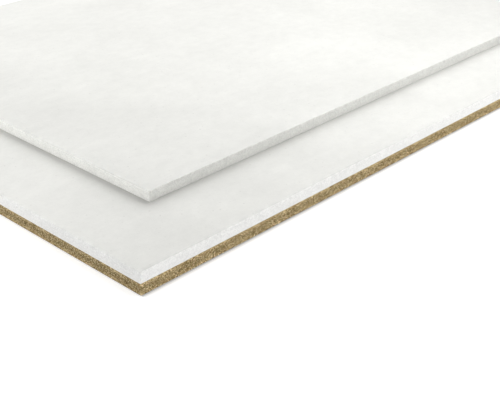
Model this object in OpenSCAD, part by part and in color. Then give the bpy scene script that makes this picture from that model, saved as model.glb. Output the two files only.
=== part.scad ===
// Dry screed floor element, lying as it is laid on the sub-floor.
// Two gypsum fibreboards of one size are glued face to face. The upper board is slid
// diagonally, so the lower one stands out as a step along one long side and one end,
// and the upper one reaches over by as much on the other two sides. The overhang of
// one element is glued onto the step of the next. A wood fibre insulation board of
// the lower board's size is glued flush under it.
// The origin is the middle of the underside, +X runs along the element, +Z is up.

/* [Gypsum fibreboards] */
// Length of each of the two gypsum fibreboards
board_length = 1500; // [600:1:2500]
// Width of each of the two gypsum fibreboards
board_width = 500; // [250:1:1250]
// Thickness of the upper gypsum fibreboard
upper_board_t = 10; // [6:0.5:18]
// Thickness of the lower gypsum fibreboard
lower_board_t = 10; // [6:0.5:18]

/* [Stepped edge] */
// Step left on the lower board at its end, and overhang at the other end
end_step = 75; // [20:1:150]
// Step left on the lower board along its long side, and overhang along the other one
side_step = 75; // [20:1:150]

/* [Insulation] */
// Thickness of the wood fibre board under the lower gypsum fibreboard
fibre_board_t = 10; // [5:1:60]

/* [Hidden] */

// Outer size of the whole element, steps and overhangs included
element_length = board_length + end_step;
element_width = board_width + side_step;

// Corner of the step, where the lower board and the wood fibre board both start
step_corner = [-element_length / 2, -element_width / 2];
// The same corner of the upper board, set back from it by the two steps
upper_corner = step_corner + [end_step, side_step];

// Heights at which the layers lie on each other
lower_board_z = fibre_board_t;
upper_board_z = lower_board_z + lower_board_t;

// One flat board of the element, from its corner and the height of its underside
module flat_board(corner, z, thickness) {
    translate([corner.x, corner.y, z])
        cube([board_length, board_width, thickness]);
}

// Insulation that lies on the sub-floor, flush with the lower board all round
module wood_fibre_board() {
    color([0.58, 0.51, 0.37])
        flat_board(step_corner, 0, fibre_board_t);
}

// Board whose free margin is the step that the next element is glued onto
module lower_gypsum_fibreboard() {
    color([0.89, 0.88, 0.86])
        flat_board(step_corner, lower_board_z, lower_board_t);
}

// Board that takes the floor covering
module upper_gypsum_fibreboard() {
    color([0.93, 0.93, 0.91])
        flat_board(upper_corner, upper_board_z, upper_board_t);
}

wood_fibre_board();
lower_gypsum_fibreboard();
upper_gypsum_fibreboard();
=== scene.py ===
# %% [markdown]
# # A dry screed floor element
# A dry screed is a floor laid without wet mortar. Each element is two gypsum fibreboards glued
# together with the upper one slid sideways, on a thin layer of wood fibre insulation. The lower
# board's free margin is the step that the next element is glued onto.
#
# This lesson dresses a CAD model of one element. The CAD holds the true sizes as three sharp
# boxes, so the first cell loads it and everything below takes its place and size from those boxes.

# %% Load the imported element
import math

import bmesh
import bpy
from mathutils import Matrix, Vector


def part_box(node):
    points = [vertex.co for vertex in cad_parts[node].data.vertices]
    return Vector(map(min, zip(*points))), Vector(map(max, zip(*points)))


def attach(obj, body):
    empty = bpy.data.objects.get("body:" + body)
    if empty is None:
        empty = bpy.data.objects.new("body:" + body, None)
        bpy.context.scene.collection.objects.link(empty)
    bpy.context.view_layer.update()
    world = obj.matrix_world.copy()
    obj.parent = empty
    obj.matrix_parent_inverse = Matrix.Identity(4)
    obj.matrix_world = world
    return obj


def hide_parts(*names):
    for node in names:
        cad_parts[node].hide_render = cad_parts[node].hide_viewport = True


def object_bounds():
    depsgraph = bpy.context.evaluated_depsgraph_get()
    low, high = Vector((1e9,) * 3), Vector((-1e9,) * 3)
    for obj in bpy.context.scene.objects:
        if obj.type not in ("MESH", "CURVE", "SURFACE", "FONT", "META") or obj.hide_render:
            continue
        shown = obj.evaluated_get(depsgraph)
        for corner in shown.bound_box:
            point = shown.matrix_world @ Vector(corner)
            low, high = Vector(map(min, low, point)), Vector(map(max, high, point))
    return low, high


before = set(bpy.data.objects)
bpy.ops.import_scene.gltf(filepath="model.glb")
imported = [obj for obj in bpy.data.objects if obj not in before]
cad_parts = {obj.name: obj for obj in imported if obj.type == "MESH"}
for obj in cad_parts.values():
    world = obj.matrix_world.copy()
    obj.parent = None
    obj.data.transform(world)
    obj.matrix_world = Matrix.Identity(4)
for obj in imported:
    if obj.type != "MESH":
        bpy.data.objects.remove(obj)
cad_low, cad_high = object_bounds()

MM = 0.001
print("element", [round(side / MM) for side in cad_high - cad_low], "mm")

# %% [markdown]
# ## Where the layers lie
# Each box is two corners, the lowest and the highest. The corner of the step, at the lowest X and
# Y of the wood fibre board, is where the camera and the lights are measured from, because that is
# the corner a viewer stands in front of.

# %% The three boxes
fibre_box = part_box("wood_fibre_board")
lower_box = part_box("lower_gypsum_fibreboard")
upper_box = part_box("upper_gypsum_fibreboard")
step_corner = fibre_box[0]
FIBRE_THICKNESS = fibre_box[1].z - fibre_box[0].z
print("step corner at", [round(value / MM, 1) for value in step_corner], "mm")

# %% [markdown]
# ## The camera
# The viewer looks down on the corner of the step from about an arm's length, along the diagonal, so
# both stepped edges run away to the sides. Three unit vectors describe such a camera well: right,
# up, and back towards the viewer. They are the columns of its rotation matrix, which avoids any
# guessing about the order of Euler angles.

# %% Camera at the corner of the step
EYE_FROM_CORNER = Vector((-0.3977, -0.4920, 0.4120))
EYE_AZIMUTH = math.radians(223.90)
EYE_ELEVATION = math.radians(28.0)
EYE_ROLL = math.radians(-0.15)
SENSOR_MM = 36.0
LENS_MM = 74.57


def add_camera():
    back = Vector((math.cos(EYE_ELEVATION) * math.cos(EYE_AZIMUTH),
                   math.cos(EYE_ELEVATION) * math.sin(EYE_AZIMUTH),
                   math.sin(EYE_ELEVATION)))
    right = Vector((-math.sin(EYE_AZIMUTH), math.cos(EYE_AZIMUTH), 0.0))
    up = back.cross(right)
    turned = Matrix((right, up, back)).transposed() @ Matrix.Rotation(EYE_ROLL, 3, "Z")
    bpy.ops.object.camera_add(location=step_corner + EYE_FROM_CORNER,
                              rotation=turned.to_euler())
    camera = bpy.context.object
    camera.name = "camera"
    camera.data.sensor_width = SENSOR_MM
    camera.data.lens = LENS_MM
    camera.data.clip_start = 0.01
    return camera


bpy.ops.object.select_all(action="DESELECT")
bpy.context.scene.camera = add_camera()
print("camera", round(EYE_FROM_CORNER.length / MM), "mm from the corner of the step")

# %% [markdown]
# ## Small tools for edit mode
# Operators act on what is selected. In a script the selection is made by a test on each face or
# edge: its place, its direction, its normal. One helper does this, so that each modelling cell
# reads as a list of what is picked and what is done to it.

# %% Selecting by a test
CLOSE = 0.001 * MM       # a distance under this counts as none
PARALLEL = 0.999         # two directions whose cosine is above this count as one


def pick(kind, test):
    """In edit mode, selects the faces or edges that pass the test, and nothing else."""
    bpy.ops.mesh.select_mode(type=kind)
    bpy.ops.mesh.select_all(action="DESELECT")
    mesh = bmesh.from_edit_mesh(bpy.context.object.data)
    items = mesh.faces if kind == "FACE" else mesh.edges
    for item in items:
        if test(item):
            item.select_set(True)
    bmesh.update_edit_mesh(bpy.context.object.data)


def runs_along(edge, axis):
    """True if the edge is parallel to the axis, 0 for X, 1 for Y or 2 for Z."""
    run = edge.verts[1].co - edge.verts[0].co
    return abs(run[axis]) > PARALLEL * run.length


def divide(axis, rounds, shortest):
    """Divides the edges along an axis into equal parts. One round makes at most 100 cuts, so
    a long edge takes two rounds. Edges under the shortest length stay whole."""
    for parts in rounds:
        pick("EDGE", lambda edge: runs_along(edge, axis) and edge.calc_length() > shortest)
        bpy.ops.mesh.subdivide(number_cuts=parts - 1)


# %% [markdown]
# ## The same numbers each time
# Every point and face of a mesh has a number. Edit mode may hand them out differently from run to
# run, and the strands that are scattered later follow the numbers. So a finished shape is
# numbered again by where its points lie. The shape stays as it is, and each run gives the same.

# %% Numbering by place
DECIMALS = 7             # of a metre, so places are rounded to 0.0001 mm


def put_in_order(board):
    """Numbers the points by their places, and the faces by their points."""
    mesh = board.data
    places = [tuple(round(value, DECIMALS) for value in vertex.co) for vertex in mesh.vertices]
    order = sorted(range(len(places)), key=places.__getitem__)
    number = {old: new for new, old in enumerate(order)}
    faces = []
    for face in mesh.polygons:
        corners = [number[index] for index in face.vertices]
        first = corners.index(min(corners))
        faces.append(corners[first:] + corners[:first])
    mesh.clear_geometry()
    mesh.from_pydata([places[index] for index in order], [], sorted(faces))
    print(board.name, len(mesh.polygons), "faces,", len(mesh.vertices), "points")


# %% [markdown]
# ## The blank of a board
# All three layers are sawn from larger sheets: flat above and below, rough on the four sawn sides,
# and worn along the arrises, which is what the long corners of a board are called. A plain cube
# would give a knife edge that no real board has. So the cube's corners are bevelled, the two
# large faces are lifted off, the sides are divided into small cells that can carry relief, and
# the large faces are put back as one flat face each. The cells are only where the relief is.

# %% Blank of a board
def add_blank(name, box, corner_wear, top_wear, bottom_wear, cells):
    """A closed board in its box. The wears are the bevel widths of the upright corners, the
    top arrises and the bottom arrises. cells is the rounds of division along X, Y and Z."""
    low, high = box
    middle = (low + high) / 2
    bpy.ops.object.select_all(action="DESELECT")
    bpy.ops.mesh.primitive_cube_add(size=1, location=middle, scale=high - low)
    blank = bpy.context.object
    blank.name = name
    blank.data.name = name
    bpy.ops.object.transform_apply(location=True, rotation=True, scale=True)
    bpy.ops.object.mode_set(mode="EDIT")

    pick("EDGE", lambda edge: runs_along(edge, 2))
    bpy.ops.mesh.bevel(offset=corner_wear, segments=3, affect="EDGES")
    for level, wear in ((high.z, top_wear), (low.z, bottom_wear)):
        pick("EDGE", lambda edge: all(abs(v.co.z - level) < CLOSE for v in edge.verts))
        bpy.ops.mesh.bevel(offset=wear, segments=2, affect="EDGES")

    pick("FACE", lambda face: abs(face.normal.z) > PARALLEL)
    bpy.ops.mesh.delete(type="ONLY_FACE")
    half_thickness = (high.z - low.z) / 2
    for axis in range(3):
        divide(axis, cells[axis], shortest=half_thickness)
        print("  divided along axis", axis)
    for above in (True, False):
        pick("EDGE", lambda edge: edge.is_boundary and (edge.verts[0].co.z > middle.z) == above)
        bpy.ops.mesh.edge_face_add()
    bpy.ops.mesh.select_all(action="SELECT")
    bpy.ops.mesh.normals_make_consistent(inside=False)
    bpy.ops.object.mode_set(mode="OBJECT")
    put_in_order(blank)
    return blank


# %% [markdown]
# ## Marking the faces of a board
# A material has to know which faces are sawn, which are the worn arrises and which are the large
# flat faces, and on which side of the board they lie, because each side gets its own painted light
# or shade. The way that a face points tells all of it.
# It is written on the mesh now, while the shape is still exact, as one number on each face. Such
# attributes stay with the faces when modifiers move them, and they need no UV map.

# %% Face marks and point weights
MARKS = ("flat", "far_arris", "side_arris", "end_arris", "step_corner",
         "far_side", "step_side", "step_end")
MARK = "finish"
UPRIGHT = 0.3            # the normal of an upright face rises less than this
CORNER_TURN = 0.2        # the normal of a step corner leans this far towards both steps
STEP_TURN = 0.6          # the normal of a step's face leans this far towards its step


def mark_of(normal):
    """The mark of a face that points this way. The steps are on the -X end and the -Y side."""
    if abs(normal.z) > PARALLEL:
        return MARKS.index("flat")
    across = normal.xy.normalized()
    if abs(normal.z) < UPRIGHT and max(across) < -CORNER_TURN:
        return MARKS.index("step_corner")
    if min(across) > -STEP_TURN:
        place = "far"
    elif across.x <= across.y:
        place = "end"
    else:
        place = "side"
    if max(abs(normal.x), abs(normal.y)) < PARALLEL:
        return MARKS.index(place + "_arris")
    return MARKS.index("far_side" if place == "far" else "step_" + place)


def mark_faces(board):
    """Writes on each face what it is: flat, a worn arris or a sawn side, and where it lies."""
    marks = [mark_of(face.normal) for face in board.data.polygons]
    attribute = board.data.attributes.new(MARK, "FLOAT", "FACE")
    attribute.data.foreach_set("value", marks)
    print(board.name, "faces:", {name: marks.count(mark) for mark, name in enumerate(MARKS)})


def group_points(board, name, weigh):
    """Gives each point a weight from 0 to 1 in a vertex group, for a modifier to act on."""
    group = board.vertex_groups.new(name=name)
    for vertex in board.data.vertices:
        weight = min(1.0, weigh(vertex.co))
        if weight > 0:
            group.add([vertex.index], weight, "REPLACE")
    return name


def away_from_faces(box, margin):
    """A weight that is 0 on a board's flat faces and grows to 1 at the margin from them."""
    low, high = box
    return lambda point: min(point.z - low.z, high.z - point.z) / margin


# %% [markdown]
# ## Sawn relief
# A saw leaves the sides of a board granular, and tears small crumbs out of the arrises. The
# Displace modifier pushes points along their normals by a noise texture. With its middle level at
# one it only ever pushes inwards, so the board never grows past its true size. Stretching the
# texture along the board, with an empty that is scaled, turns round grains into fibres.

# %% Displacing inwards by a noise
SPARSE_CONTRAST = 4.0
SPARSE_BRIGHTNESS = 1.9


def sink(board, group, depth, grain, sparse=False, stretch=1.0, detail=2):
    """Sinks the points of a group by up to depth. grain is the size of the noise. A sparse
    noise leaves most points where they are and takes a bite here and there."""
    texture = bpy.data.textures.new(f"{board.name}_{group}_noise", "CLOUDS")
    texture.noise_scale = grain
    texture.noise_depth = detail
    texture.use_clamp = True
    if sparse:
        texture.contrast = SPARSE_CONTRAST
        texture.intensity = SPARSE_BRIGHTNESS
    bpy.ops.object.select_all(action="DESELECT")
    bpy.ops.object.empty_add(location=(0, 0, 0))
    stretcher = bpy.context.object
    stretcher.scale = (stretch, stretch, 1.0)
    bpy.context.view_layer.update()
    modifier = board.modifiers.new("sawn relief", "DISPLACE")
    modifier.texture = texture
    modifier.texture_coords = "OBJECT"
    modifier.texture_coords_object = stretcher
    modifier.vertex_group = group
    modifier.mid_level = 1.0
    modifier.strength = depth
    bpy.context.view_layer.objects.active = board
    bpy.ops.object.modifier_apply(modifier=modifier.name)
    bpy.data.objects.remove(stretcher)
    bpy.data.textures.remove(texture)


# %% [markdown]
# ## The two gypsum fibreboards
# Gypsum fibreboard is gypsum mixed with paper fibre and pressed hard. It saws cleanly, so its
# relief is fine: a tenth of a millimetre of grain on the sides, and free arrises worn a third of a
# millimetre wide with a few crumbs missing. Where the upper board meets the step, its worn lower
# arris leaves the thin dark groove that shows two boards and not one. The lower board's arris at
# the wood fibre is covered, and stays almost sharp. Both boards are the same product, so one
# function makes both.

# %% Gypsum fibreboards
GYPSUM_CELLS = ((30, 40), (20, 20), (8,))    # cells of 1.25 mm on the sawn sides
FREE_WEAR = 0.3 * MM
GLUED_WEAR = 0.15 * MM
CORNER_WEAR = 0.8 * MM
ARRIS_REACH = 1.3 * MM
RELIEF_MARGIN = 0.3 * MM


def add_gypsum_board(name, box, bottom_wear):
    high = box[1]
    board = add_blank(name, box, CORNER_WEAR, FREE_WEAR, bottom_wear, GYPSUM_CELLS)
    mark_faces(board)

    def at_top_arris(point):
        return 1.0 if CLOSE < high.z - point.z < ARRIS_REACH else 0.0

    sides = group_points(board, "sides", away_from_faces(box, RELIEF_MARGIN))
    arrises = group_points(board, "arrises", at_top_arris)
    sink(board, sides, depth=0.09 * MM, grain=1.6 * MM)
    sink(board, sides, depth=0.12 * MM, grain=9 * MM, stretch=3)
    sink(board, arrises, depth=0.25 * MM, grain=5 * MM, sparse=True)
    board.vertex_groups.clear()
    return board


upper_board = add_gypsum_board("upper_board", upper_box, FREE_WEAR)
lower_board = add_gypsum_board("lower_board", lower_box, GLUED_WEAR)

# %% [markdown]
# ## The wood fibre board
# The insulation is wood fibre pressed dry into a soft board. A saw tears it more than it cuts it:
# its sides are deeply granular, with the fibres lying flat in the board, so the relief is
# stretched along the sides. The sides start a little inside the true size, which leaves room for
# the loose fibres that are laid on them next.

# %% Wood fibre board
FIBRE_CELLS = ((38, 40), (22, 23), (10,))    # cells of 1 mm on the sawn sides
STRAND_ROOM = 0.10 * MM
FIBRE_CORNER_WEAR = 1.2 * MM
FIBRE_TOP_WEAR = 0.15 * MM
FIBRE_BOTTOM_WEAR = 0.1 * MM
FIBRE_RELIEF_MARGIN = 1.0 * MM


def add_fibre_board(name, box):
    low, high = (corner.copy() for corner in box)
    for axis in (0, 1):
        low[axis] += STRAND_ROOM
        high[axis] -= STRAND_ROOM
    board = add_blank(name, (low, high), FIBRE_CORNER_WEAR, FIBRE_TOP_WEAR, FIBRE_BOTTOM_WEAR,
                      FIBRE_CELLS)
    mark_faces(board)
    sides = group_points(board, "sides", away_from_faces((low, high), FIBRE_RELIEF_MARGIN))
    sink(board, sides, depth=0.15 * MM, grain=7 * MM, stretch=2.5)
    sink(board, sides, depth=0.4 * MM, grain=1.4 * MM, stretch=1.5, detail=3)
    board.vertex_groups.clear()
    return board


fibre_board = add_fibre_board("wood_fibre_layer", fibre_box)

# %% [markdown]
# ## Loose strands on the sawn sides
# Torn fibres stand a little proud of the sawn sides and catch the light. Thousands are needed, so
# one strand is modelled, a thin square rod with its middle bent and its tips drawn in, and
# Geometry Nodes scatters copies of it. They lie along the side they grow from, because the
# fibres were pressed flat, with a little tilt and a little lift. A strand may not reach past the
# true size of the board. So none starts near a corner or a flat face, and each one is seated as
# deep as it can reach out. Each copy is given a random tone before the copies are made real, which
# its material reads later.

# %% One strand
STRAND_LENGTH = 3.6 * MM
STRAND_WIDTH = 0.24 * MM
STRAND_BEND = 0.15 * MM
TIP_SHARE = 0.45         # how wide the tips are, as a share of the middle


def add_strand():
    """One strand along X, at the origin."""
    bpy.ops.object.select_all(action="DESELECT")
    bpy.ops.mesh.primitive_cylinder_add(vertices=4, radius=STRAND_WIDTH / 2,
                                        depth=STRAND_LENGTH, rotation=(0, math.pi / 2, 0))
    strand = bpy.context.object
    strand.name = "strand"
    bpy.ops.object.transform_apply(location=True, rotation=True, scale=True)
    bpy.ops.object.mode_set(mode="EDIT")
    pick("EDGE", lambda edge: runs_along(edge, 0))
    bpy.ops.mesh.subdivide(number_cuts=1)
    pick("EDGE", lambda edge: all(abs(v.co.x) < CLOSE for v in edge.verts))
    bpy.ops.transform.translate(value=(0, 0, STRAND_BEND))
    for end in (-1, 1):
        pick("FACE", lambda face: face.normal.x * end > PARALLEL)
        bpy.ops.transform.resize(value=(1, TIP_SHARE, TIP_SHARE))
    bpy.ops.object.mode_set(mode="OBJECT")
    put_in_order(strand)
    return strand


# %% Scattering the strands
STRANDS_PER_M2 = 170_000
STRAND_TILT = math.radians(17)
STRAND_LIFT = math.radians(7)
STRAND_SEED = 11
STRAND_DEPTH = 0.46 * MM
CLEAR_OF_CORNER = 0.75 * STRAND_LENGTH
CLEAR_OF_FLAT = 0.4 * STRAND_LENGTH
TONE = "strand_tone"
ROOM = "strand_room"


def mark_strand_room(board, box):
    """Marks the sawn faces on which a strand can lie without reaching past the board's box."""
    low, high = box
    room = []
    for face, mark in zip(board.data.polygons, board.data.attributes[MARK].data):
        centre = face.center
        is_sawn = mark.value > MARKS.index("step_corner")
        from_corner = max(min(centre[axis] - low[axis], high[axis] - centre[axis])
                          for axis in (0, 1))
        from_flat = min(centre.z - low.z, high.z - centre.z)
        room.append(is_sawn and from_corner > CLEAR_OF_CORNER and from_flat > CLEAR_OF_FLAT)
    attribute = board.data.attributes.new(ROOM, "BOOLEAN", "FACE")
    attribute.data.foreach_set("value", room)
    print("strands may lie on", sum(room), "faces")


def scatter_nodes(strand, box):
    """A Geometry Nodes group that replaces a board by strands lying on its sawn sides."""
    group = bpy.data.node_groups.new("scatter strands", "GeometryNodeTree")
    group.interface.new_socket("Geometry", in_out="INPUT", socket_type="NodeSocketGeometry")
    group.interface.new_socket("Geometry", in_out="OUTPUT", socket_type="NodeSocketGeometry")
    link = group.links.new

    def add(kind, **options):
        made = group.nodes.new(kind)
        for name, value in options.items():
            setattr(made, name, value)
        return made

    def random_between(low, high, seed):
        number = add("FunctionNodeRandomValue", data_type="FLOAT")
        number.inputs[2].default_value = low
        number.inputs[3].default_value = high
        number.inputs["Seed"].default_value = seed
        return number.outputs[1]

    board = add("NodeGroupInput")
    room = add("GeometryNodeInputNamedAttribute", data_type="BOOLEAN")
    room.inputs["Name"].default_value = ROOM
    points = add("GeometryNodeDistributePointsOnFaces")
    points.inputs["Density"].default_value = STRANDS_PER_M2
    points.inputs["Seed"].default_value = STRAND_SEED
    link(board.outputs[0], points.inputs["Mesh"])
    link(room.outputs["Attribute"], points.inputs["Selection"])
    place = add("GeometryNodeInputPosition").outputs[0]
    margin = Vector((STRAND_DEPTH, STRAND_DEPTH, 0.0))
    for operation, limit in (("MAXIMUM", box[0] + margin), ("MINIMUM", box[1] - margin)):
        limited = add("ShaderNodeVectorMath", operation=operation)
        link(place, limited.inputs[0])
        limited.inputs[1].default_value = limit
        place = limited.outputs[0]
    seated = add("GeometryNodeSetPosition")
    link(points.outputs["Points"], seated.inputs["Geometry"])
    link(place, seated.inputs["Position"])

    across = add("ShaderNodeSeparateXYZ")
    link(points.outputs["Normal"], across.inputs[0])
    minus_y = add("ShaderNodeMath", operation="MULTIPLY")
    minus_y.inputs[1].default_value = -1.0
    link(across.outputs["Y"], minus_y.inputs[0])
    along_side = add("ShaderNodeMath", operation="ARCTAN2")
    link(across.outputs["X"], along_side.inputs[0])
    link(minus_y.outputs[0], along_side.inputs[1])
    lifted = add("ShaderNodeMath", operation="ADD")
    link(along_side.outputs[0], lifted.inputs[0])
    link(random_between(-STRAND_LIFT, STRAND_LIFT, seed=1), lifted.inputs[1])

    turn = add("ShaderNodeCombineXYZ")
    link(random_between(0, 2 * math.pi, seed=2), turn.inputs["X"])
    link(random_between(-STRAND_TILT, STRAND_TILT, seed=3), turn.inputs["Y"])
    link(lifted.outputs[0], turn.inputs["Z"])
    rotation = add("FunctionNodeEulerToRotation")
    link(turn.outputs[0], rotation.inputs[0])
    size = add("ShaderNodeCombineXYZ")
    link(random_between(0.35, 1.1, seed=4), size.inputs["X"])
    for side, seed in (("Y", 5), ("Z", 6)):
        link(random_between(0.6, 1.3, seed=seed), size.inputs[side])

    shape = add("GeometryNodeObjectInfo")
    shape.inputs["Object"].default_value = strand
    copies = add("GeometryNodeInstanceOnPoints")
    link(seated.outputs[0], copies.inputs["Points"])
    link(shape.outputs["Geometry"], copies.inputs["Instance"])
    link(rotation.outputs[0], copies.inputs["Rotation"])
    link(size.outputs[0], copies.inputs["Scale"])
    toned = add("GeometryNodeStoreNamedAttribute", data_type="FLOAT", domain="INSTANCE")
    toned.inputs["Name"].default_value = TONE
    link(copies.outputs[0], toned.inputs["Geometry"])
    link(random_between(0, 1, seed=7), toned.inputs["Value"])
    real = add("GeometryNodeRealizeInstances")
    link(toned.outputs[0], real.inputs[0])
    link(real.outputs[0], add("NodeGroupOutput").inputs[0])
    return group


def add_strands(board, box):
    strand = add_strand()
    bpy.ops.object.select_all(action="DESELECT")
    strands = board.copy()
    strands.data = board.data.copy()
    strands.name = strands.data.name = "loose_wood_strands"
    bpy.context.collection.objects.link(strands)
    mark_strand_room(strands, box)
    modifier = strands.modifiers.new("scatter", "NODES")
    modifier.node_group = scatter_nodes(strand, box)
    bpy.context.view_layer.objects.active = strands
    bpy.ops.object.modifier_apply(modifier=modifier.name)
    bpy.data.node_groups.remove(bpy.data.node_groups["scatter strands"])
    bpy.data.objects.remove(strand)
    print("strands", len(strands.data.polygons), "faces")
    return strands


wood_strands = add_strands(fibre_board, fibre_box)

# %% [markdown]
# ## Materials from nodes
# A material is a small program that gives each point of the surface its colour, its roughness and
# its fine relief. These ones read the object's own coordinates in metres, so a noise of scale 100
# has features of about ten millimetres, and the pattern stays with the board when it is moved.
# A few helpers keep the recipes short.

# %% Node helpers
class Recipe:
    """A new material, with short calls that each add one node and return its output."""

    def __init__(self, name):
        self.material = bpy.data.materials.new(name)
        self.material.use_nodes = True
        self.tree = self.material.node_tree
        self.shader = self.tree.nodes["Principled BSDF"]
        self.place = self.node("TexCoord").outputs["Object"]

    def node(self, kind, **options):
        made = self.tree.nodes.new("ShaderNode" + kind)
        for name, value in options.items():
            setattr(made, name, value)
        return made

    def feed(self, socket, value):
        """Fills an input with a number or a colour, or links another node's output to it."""
        if isinstance(value, bpy.types.NodeSocket):
            self.tree.links.new(value, socket)
        else:
            socket.default_value = value

    def stretched(self, x, y, z):
        mapping = self.node("Mapping")
        self.feed(mapping.inputs["Vector"], self.place)
        self.feed(mapping.inputs["Scale"], (x, y, z))
        return mapping.outputs[0]

    def frayed(self, place, reach, scale=2.5):
        """Places shifted by a fine noise, which frays the straight edges of cells 1 wide."""
        made = self.node("TexNoise")
        self.feed(made.inputs["Vector"], place)
        self.feed(made.inputs["Scale"], scale)
        self.feed(made.inputs["Detail"], 2.0)
        shifted = self.node("VectorMath", operation="MULTIPLY_ADD")
        self.feed(shifted.inputs[0], made.outputs["Color"])
        self.feed(shifted.inputs[1], (reach, reach, reach))
        self.feed(shifted.inputs[2], place)
        return shifted.outputs[0]

    def noise(self, scale, detail, place=None):
        made = self.node("TexNoise")
        self.feed(made.inputs["Vector"], place or self.place)
        self.feed(made.inputs["Scale"], scale)
        self.feed(made.inputs["Detail"], detail)
        return made.outputs[0]

    def cells(self, scale, place=None):
        """Voronoi cells: the distance to each cell's middle, and a random number for each cell."""
        made = self.node("TexVoronoi")
        self.feed(made.inputs["Vector"], place or self.place)
        self.feed(made.inputs["Scale"], scale)
        apart = self.node("SeparateColor")
        self.feed(apart.inputs[0], made.outputs["Color"])
        return made.outputs["Distance"], apart.outputs[0]

    def attribute(self, name):
        return self.node("Attribute", attribute_name=name).outputs["Fac"]

    def along(self, axis):
        """The point's place along an axis, 0 for X, 1 for Y or 2 for Z."""
        apart = self.node("SeparateXYZ")
        self.feed(apart.inputs[0], self.place)
        return apart.outputs[axis]

    def off_middle(self, box, axis):
        """How far the point is from the middle of a box along an axis."""
        middle = (box[0][axis] + box[1][axis]) / 2
        return self.math("ABSOLUTE", self.math("SUBTRACT", self.along(axis), middle), 0)

    def inside_along(self, box, axis):
        """How far the point is inside a box along an axis. It is less than 0 outside."""
        return self.math("SUBTRACT", (box[1][axis] - box[0][axis]) / 2, self.off_middle(box, axis))

    def inside(self, box):
        """How far the point is inside a box, from the nearest of its four upright sides."""
        return self.math("MINIMUM", self.inside_along(box, 0), self.inside_along(box, 1))

    def arris_gap(self, box):
        """How far the point is from the top arris of a board, along its face or down its side."""
        below = self.math("SUBTRACT", box[1].z, self.along(2))
        return self.math("MAXIMUM", self.inside(box), below)

    def ramp(self, value, start, end, low=0.0, high=1.0):
        """low up to start, high from end on, and a straight ramp between them."""
        made = self.node("MapRange", clamp=True)
        for socket, number in zip(made.inputs, (value, start, end, low, high)):
            self.feed(socket, number)
        return made.outputs[0]

    def math(self, operation, first, second):
        made = self.node("Math", operation=operation)
        self.feed(made.inputs[0], first)
        self.feed(made.inputs[1], second)
        return made.outputs[0]

    def product(self, *factors):
        result = factors[0]
        for factor in factors[1:]:
            result = self.math("MULTIPLY", result, factor)
        return result

    def tone(self, value, spread):
        """A multiplier around 1 from a noise around a half."""
        return self.ramp(value, 0.0, 1.0, 1.0 - spread, 1.0 + spread)

    def mix(self, factor, first, second):
        """The first colour at a factor of 0 and the second at 1."""
        made = self.node("Mix", data_type="RGBA")
        for socket, value in ((0, factor), (6, first), (7, second)):
            self.feed(made.inputs[socket], value)
        return made.outputs[2]

    def between(self, factor, first, second):
        """The first number at a factor of 0 and the second at 1."""
        made = self.node("Mix", data_type="FLOAT")
        for socket, value in ((0, factor), (2, first), (3, second)):
            self.feed(made.inputs[socket], value)
        return made.outputs[0]

    def colours(self, value, stops, interpolation="LINEAR"):
        """A value from 0 to 1 looked up in a row of colours, each with its place in the row."""
        made = self.node("ValToRGB")
        made.color_ramp.interpolation = interpolation
        row = made.color_ramp.elements
        for place, _ in stops[1:-1]:
            row.new(place)
        for stop, (place, colour) in zip(row, stops):
            stop.position = place
            stop.color = colour
        self.feed(made.inputs[0], value)
        return made.outputs[0]

    def scaled(self, colour, factor):
        """The colour made lighter or darker by a factor."""
        made = self.node("VectorMath", operation="SCALE")
        is_linked = isinstance(colour, bpy.types.NodeSocket)
        self.feed(made.inputs[0], colour if is_linked else colour[:3])
        self.feed(made.inputs["Scale"], factor)
        return made.outputs[0]

    def bump(self, value, depth):
        made = self.node("Bump")
        self.feed(made.inputs["Strength"], 1.0)
        self.feed(made.inputs["Distance"], depth)
        self.feed(made.inputs["Height"], value)
        return made.outputs[0]

    def finish(self, colour, roughness, relief, specular):
        self.feed(self.shader.inputs["Base Color"], colour)
        self.feed(self.shader.inputs["Roughness"], roughness)
        self.feed(self.shader.inputs["Normal"], relief)
        self.feed(self.shader.inputs["Specular IOR Level"], specular)
        print("material", self.material.name, len(self.tree.nodes), "nodes")
        return self.material


def from_screen(red, green, blue):
    """A colour given as it looks on a screen, 0 to 255, turned into the light that it reflects."""
    def to_light(value):
        share = value / 255
        return share / 12.92 if share <= 0.04045 else ((share + 0.055) / 1.055) ** 2.4
    return (to_light(red), to_light(green), to_light(blue), 1.0)


# %% [markdown]
# ## Gypsum fibreboard
# The faces are sanded: a warm off-white that clouds over a hand's width, mottles over a
# fingertip, carries faint sanding lines along the board, and has a few dark specks of paper. The
# sawn sides show the inside of the board as frayed grains of slightly different white. A row of
# colours with one step for each mark chooses between them. Only the flat faces get the board's own
# white from it: each side, arris and step corner gets a white painted lighter or darker for the
# light that falls there, which is painted light and shade, with a painted highlight on the upper
# board's arrises and step corner. Handling rubs dust over the arrises and dirt into them, so the
# last few millimetres on both sides of an arris are scuffed, lighter in one place and darker in the
# next. This breaks the straight line that a computer would draw there. The far sides are painted
# greyer than the ones at the steps, as painted shade, because they face the lamps and would lose
# their grain in the glare.

# %% Gypsum fibreboard material
SCUFF_WIDTH = 4 * MM
GRAINS_PER_METRE = 1150
GYPSUM_FRAY = 1.2        # how far the edges of a grain are shifted, in grains
SPECK_COLOUR = (0.30, 0.29, 0.27, 1.0)
SPECK_STRENGTH = 0.22
BUMP_DEPTH = 0.12 * MM


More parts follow.
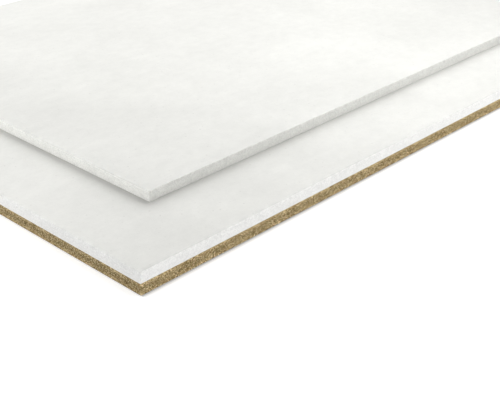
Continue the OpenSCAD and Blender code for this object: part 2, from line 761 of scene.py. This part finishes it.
def gypsum_fibre(name, box, scuff_tone, tones_and_painted_light):
    """scuff_tone is how much the scuffs lighten and darken. The last argument is a colour for each
    mark: the board's own white on the flat faces, and painted light and shade on the rest.
    """
    made = Recipe(name)
    mark = made.attribute(MARK)
    sawn = made.ramp(mark, MARKS.index("end_arris"), MARKS.index("step_corner"))
    # Painted light and shade: the row gives the flat faces the board's own white, and each side,
    # arris and step corner a white made lighter or darker for the light that it gets.
    stops = [(index / len(MARKS), tones_and_painted_light[each]) for index, each in enumerate(MARKS)]
    stops.append((1.0, tones_and_painted_light[MARKS[-1]]))
    place = made.ramp(mark, 0, len(MARKS), 0.5 / len(MARKS), 1 + 0.5 / len(MARKS))
    colour = made.colours(place, stops, interpolation="CONSTANT")

    clouds = made.noise(scale=12, detail=3)
    mottle = made.noise(scale=95, detail=3)
    fine = made.noise(scale=420, detail=2)
    sanding = made.noise(scale=1, detail=2, place=made.stretched(9, 260, 260))
    face_tone = made.product(made.tone(clouds, 0.10), made.tone(mottle, 0.05),
                             made.tone(fine, 0.03), made.tone(sanding, 0.015))
    evenly = made.stretched(GRAINS_PER_METRE, GRAINS_PER_METRE, GRAINS_PER_METRE)
    crumbs, grain = made.cells(scale=1, place=made.frayed(evenly, GYPSUM_FRAY))
    layers = made.noise(scale=1, detail=2, place=made.stretched(60, 60, 900))
    side_tone = made.product(made.tone(grain, 0.08), made.tone(layers, 0.05),
                             made.tone(mottle, 0.06))
    tone = made.between(sawn, face_tone, side_tone)
    near_arris = made.ramp(made.arris_gap(box), SCUFF_WIDTH / 3, SCUFF_WIDTH, 1, 0)
    scuffs = made.ramp(made.noise(scale=160, detail=3), 0.42, 0.58, -scuff_tone, scuff_tone)
    scuffed = made.math("ADD", made.product(near_arris, scuffs), 1.0)
    colour = made.scaled(colour, made.product(tone, scuffed))

    speck_distance, speck_chance = made.cells(scale=150)
    small_distance, small_chance = made.cells(scale=330)
    specks = made.math("MAXIMUM",
                       made.product(made.ramp(speck_distance, 0.07, 0.13, 1, 0),
                                    made.ramp(speck_chance, 0.55, 0.6)),
                       made.product(made.ramp(small_distance, 0.12, 0.2, 1, 0),
                                    made.ramp(small_chance, 0.7, 0.75), 0.6))
    colour = made.mix(made.product(specks, SPECK_STRENGTH), colour, SPECK_COLOUR)

    relief = made.math("ADD", made.product(fine, 0.4), made.product(crumbs, sawn))
    return made.finish(colour, 0.85, made.bump(relief, BUMP_DEPTH), specular=0.25)


# Painted shade: the far sides and far arrises are greyer than those at the steps, because they face
# the lamps.
FAR_PAINTED_SHADE = {"far_arris": from_screen(212, 212, 209), "far_side": from_screen(208, 208, 205)}
# The flat faces carry the board's own white. Each side, arris and step corner is painted lighter or
# darker for the light that falls there: painted highlights on the upper board's arrises and step
# corner, painted shade on the lower board's end.
UPPER_TONES_AND_PAINTED_LIGHT = {"flat": from_screen(217, 217, 213), "side_arris": from_screen(243, 243, 239),
               "end_arris": from_screen(231, 231, 227), "step_corner": from_screen(248, 248, 244),
               "step_side": from_screen(236, 236, 232), "step_end": from_screen(246, 246, 242)}
LOWER_TONES_AND_PAINTED_LIGHT = {"flat": from_screen(219, 219, 215), "side_arris": from_screen(232, 232, 229),
               "end_arris": from_screen(220, 220, 218), "step_corner": from_screen(226, 226, 224),
               "step_side": from_screen(233, 233, 231), "step_end": from_screen(215, 215, 213)}
upper_gypsum = gypsum_fibre("upper_gypsum_fibreboard", upper_box, scuff_tone=0.03,
                            tones_and_painted_light=FAR_PAINTED_SHADE | UPPER_TONES_AND_PAINTED_LIGHT)
lower_gypsum = gypsum_fibre("lower_gypsum_fibreboard", lower_box, scuff_tone=0.035,
                            tones_and_painted_light=FAR_PAINTED_SHADE | LOWER_TONES_AND_PAINTED_LIGHT)

# %% [markdown]
# ## Wood fibre
# Pressed wood fibre is olive brown at arm's length, but close up it is a felt of single fibres:
# straw-coloured strands, dark gaps and bark, and grains in between. Voronoi cells a millimetre
# wide and a little flatter give each grain a random number, and a row of five browns turns the
# numbers into colours. Bare cells look like chips with straight edges, so a fine noise shifts the
# places that they are made from and frays them. Coarser cells and a soft noise make whole clumps
# lighter or darker, and another noise reddens some of them. The colour is darker in the middle of
# the board's height and lighter towards its top and bottom. The lowest quarter is painted lighter
# still, as painted light bounced up from the white floor, and the step end is painted darker, as
# painted shade.

# %% Wood fibre material
FIBRE_TONES = ((0.0, from_screen(88, 73, 44)), (0.25, from_screen(125, 108, 71)),
               (0.55, from_screen(157, 139, 99)), (0.8, from_screen(187, 168, 126)),
               (1.0, from_screen(226, 208, 169)))
FIBRE_RED = from_screen(166, 126, 94)
# Painted shade: the step end of the wood fibre is darker than its long side.
END_PAINTED_SHADE = 0.75
FLATTER = 1500           # grains for each metre of height, where they are flatter than wide
FIBRE_FRAY = 1.6


def wood_fibre(name, strand=False):
    made = Recipe(name)
    flattened = made.stretched(GRAINS_PER_METRE, GRAINS_PER_METRE, FLATTER)
    grains, grain_chance = made.cells(scale=1, place=made.frayed(flattened, FIBRE_FRAY))
    clumps, clump_chance = made.cells(scale=1, place=made.stretched(420, 420, 800))
    patches = made.noise(scale=60, detail=2)
    reddish = made.noise(scale=450, detail=2)
    if strand:
        grain_chance = made.attribute(TONE)
    colour = made.colours(grain_chance, FIBRE_TONES)
    colour = made.mix(made.ramp(reddish, 0.52, 0.68, 0, 0.3), colour, FIBRE_RED)
    # Darker in the middle of the height, lighter towards the top and bottom.
    darker_middle = made.ramp(made.off_middle(fibre_box, 2), 0.05 * FIBRE_THICKNESS,
                        0.35 * FIBRE_THICKNESS, 0.95, 1.22)
    # Painted light: the lowest quarter grows lighter towards the bottom, in place of light bounced
    # up from the white floor.
    painted_floor_bounce = made.ramp(made.along(2), fibre_box[0].z, fibre_box[0].z + 0.25 * FIBRE_THICKNESS,
                     1.22, 1.0)
    # Painted shade: faces at the step end are darkened.
    painted_end_shade = made.ramp(made.attribute(MARK), MARKS.index("step_side"), MARKS.index("step_end"),
                       1.0, END_PAINTED_SHADE)
    shade = made.product(made.tone(clump_chance, 0.10), made.tone(patches, 0.10), darker_middle, painted_floor_bounce,
                         painted_end_shade)
    relief = made.math("ADD", grains, clumps)
    colour = made.scaled(colour, shade)
    return made.finish(colour, 0.95, made.bump(relief, BUMP_DEPTH), specular=0.15)


fibre_felt = wood_fibre("wood_fibre_felt")
fibre_strand = wood_fibre("wood_fibre_strand", strand=True)

for piece, material in ((upper_board, upper_gypsum), (lower_board, lower_gypsum),
                        (fibre_board, fibre_felt), (wood_strands, fibre_strand)):
    piece.data.materials.clear()
    piece.data.materials.append(material)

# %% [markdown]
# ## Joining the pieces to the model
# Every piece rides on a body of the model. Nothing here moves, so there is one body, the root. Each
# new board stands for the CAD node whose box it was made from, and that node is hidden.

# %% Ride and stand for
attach(upper_board, "root")
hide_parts("upper_gypsum_fibreboard")

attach(lower_board, "root")
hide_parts("lower_gypsum_fibreboard")

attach(fibre_board, "root")
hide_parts("wood_fibre_board")

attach(wood_strands, "root")

# %% [markdown]
# ## Floor and air
# The element is shown as on a white light table: the floor glows a little by itself, so that it
# stays pure white at moderate lamps, and the air near the horizon is white too. A real table would
# go dark where something lies on it. So the floor's colour and glow both fade close to the
# element, which draws a thin contact shadow: over four millimetres beside the long sides, and over
# half a millimetre beyond the ends, where the lamps already leave a shadow. The glow also fades
# out under the far overhangs, which lets their soft shadows show. The Standard view transform
# shows white as white, where the default one would turn it grey.

# %% Floor and air
FLOOR_SIZE = 60.0
FLOOR_DROP = 0.05 * MM
FLOOR_GLOW = 0.60
CONTACT_WIDTHS = (0.5 * MM, 4.0 * MM)    # beyond the ends, and beside the long sides
CONTACT_SHADE = 0.4
DIM_START = 0.05
DIM_END = 0.35


def add_floor():
    bpy.ops.object.select_all(action="DESELECT")
    bpy.ops.mesh.primitive_plane_add(size=FLOOR_SIZE, location=(0, 0, cad_low.z - FLOOR_DROP))
    floor = bpy.context.object
    floor.name = "floor"
    bpy.ops.object.transform_apply(location=True, rotation=True, scale=True)
    made = Recipe("white_floor")
    paper = made.noise(scale=30, detail=3)
    clear = [made.ramp(made.inside_along(fibre_box, axis), -CONTACT_WIDTHS[axis], 0, 1, 0)
             for axis in (0, 1)]
    contact = made.ramp(made.math("ADD", *clear), 0, 1, CONTACT_SHADE, 1)
    colour = made.scaled((0.80, 0.80, 0.80, 1.0), made.product(made.tone(paper, 0.01), contact))
    dim = 1.0
    for axis in (0, 1):
        place = made.along(axis)
        dim = made.product(dim, made.ramp(place, cad_low[axis], upper_box[0][axis]),
                           made.ramp(place, cad_high[axis] + DIM_START, cad_high[axis] + DIM_END,
                                     1, 0))
    made.shader.inputs["Emission Color"].default_value = (1.0, 1.0, 1.0, 1.0)
    glow = made.product(made.ramp(dim, 0, 1, FLOOR_GLOW, 0), contact)
    made.feed(made.shader.inputs["Emission Strength"], glow)
    floor.data.materials.append(made.finish(colour, 0.9, made.bump(paper, 0.02 * MM), specular=0.1))


def light_horizon(strength, low, high):
    """White air up to the height low, as the Z of a direction, fading to black at high."""
    world = bpy.data.worlds.new("white_horizon")
    world.use_nodes = True
    tree = world.node_tree
    apart = tree.nodes.new("ShaderNodeSeparateXYZ")
    fade = tree.nodes.new("ShaderNodeMapRange")
    for socket, number in zip(fade.inputs[1:5], (low, high, strength, 0.0)):
        socket.default_value = number
    direction = tree.nodes.new("ShaderNodeTexCoord").outputs["Generated"]
    tree.links.new(direction, apart.inputs[0])
    tree.links.new(apart.outputs["Z"], fade.inputs["Value"])
    background = tree.nodes["Background"]
    background.inputs["Color"].default_value = (1.0, 1.0, 1.0, 1.0)
    tree.links.new(fade.outputs[0], background.inputs["Strength"])
    bpy.context.scene.world = world


add_floor()
light_horizon(strength=1.05, low=0.28, high=0.45)
bpy.context.scene.view_settings.view_transform = "Standard"

# %% [markdown]
# ## Lamps
# Far lamps light every part of the element alike. The strongest stands behind it, opposite the
# viewer, with a high one on each side and a weak low one to the right, so both stepped edges turn
# their shaded faces to the viewer and drop a soft shadow. Softboxes stand near it: one beside each
# of the two edges in view brightens its far reach, and a row above keeps the whole length of the
# element as bright as the corner.

# %% Far lamps
FAR_LAMP_DISTANCE = 3.0
FAR_LAMP_SPREAD = math.radians(50)


def add_far_lamp(name, heading, elevation, strength):
    """A broad lamp far off. Its heading is turned from +X towards +Y, seen from the step corner."""
    turn, rise = math.radians(heading), math.radians(elevation)
    towards = Vector((math.cos(rise) * math.cos(turn), math.cos(rise) * math.sin(turn),
                      math.sin(rise)))
    bpy.ops.object.light_add(type="SUN", location=step_corner + towards * FAR_LAMP_DISTANCE,
                             rotation=towards.to_track_quat("Z", "Y").to_euler())
    lamp = bpy.context.object
    lamp.name = name
    lamp.data.angle = FAR_LAMP_SPREAD
    lamp.data.energy = strength


for name, heading, elevation, strength in (("far_lamp_right", 320, 20, 0.43),
                                           ("far_lamp_back_right", 350, 58, 0.585),
                                           ("far_lamp_back", 45, 38, 1.566),
                                           ("far_lamp_back_left", 130, 58, 0.58)):
    add_far_lamp(name, heading, elevation, strength)

# %% Softboxes near the element
SOFTBOX_SIZE = 0.35


def add_softbox(name, place, aim, power):
    """A square lamp that faces its aim. Both are measured from the step corner, in metres."""
    away = Vector(place) - Vector(aim)
    bpy.ops.object.light_add(type="AREA", location=step_corner + Vector(place),
                             rotation=away.to_track_quat("Z", "Y").to_euler())
    lamp = bpy.context.object
    lamp.name = name
    lamp.data.size = SOFTBOX_SIZE
    lamp.data.energy = power
    lamp.visible_camera = False


for name, place, aim, power in (
        ("softbox_right", (0.50, -0.06, 0.30), (0.30, 0.0, 0.02), 0.35),
        ("softbox_left", (-0.30, 0.33, 0.115), (0.0, 0.20, 0.02), 0.61),
        ("softbox_over_end", (0.22, 0.70, 0.40), (0.18, 0.42, 0.02), 0.77),
        ("softbox_over_near", (0.45, 0.15, 0.45), (0.27, 0.09, 0.02), 0.43),
        ("softbox_over_middle", (0.80, 0.45, 0.45), (0.80, 0.45, 0.0), 0.67),
        ("softbox_over_far", (1.45, 0.30, 0.60), (1.45, 0.30, 0.0), 1.79)):
    add_softbox(name, place, aim, power)
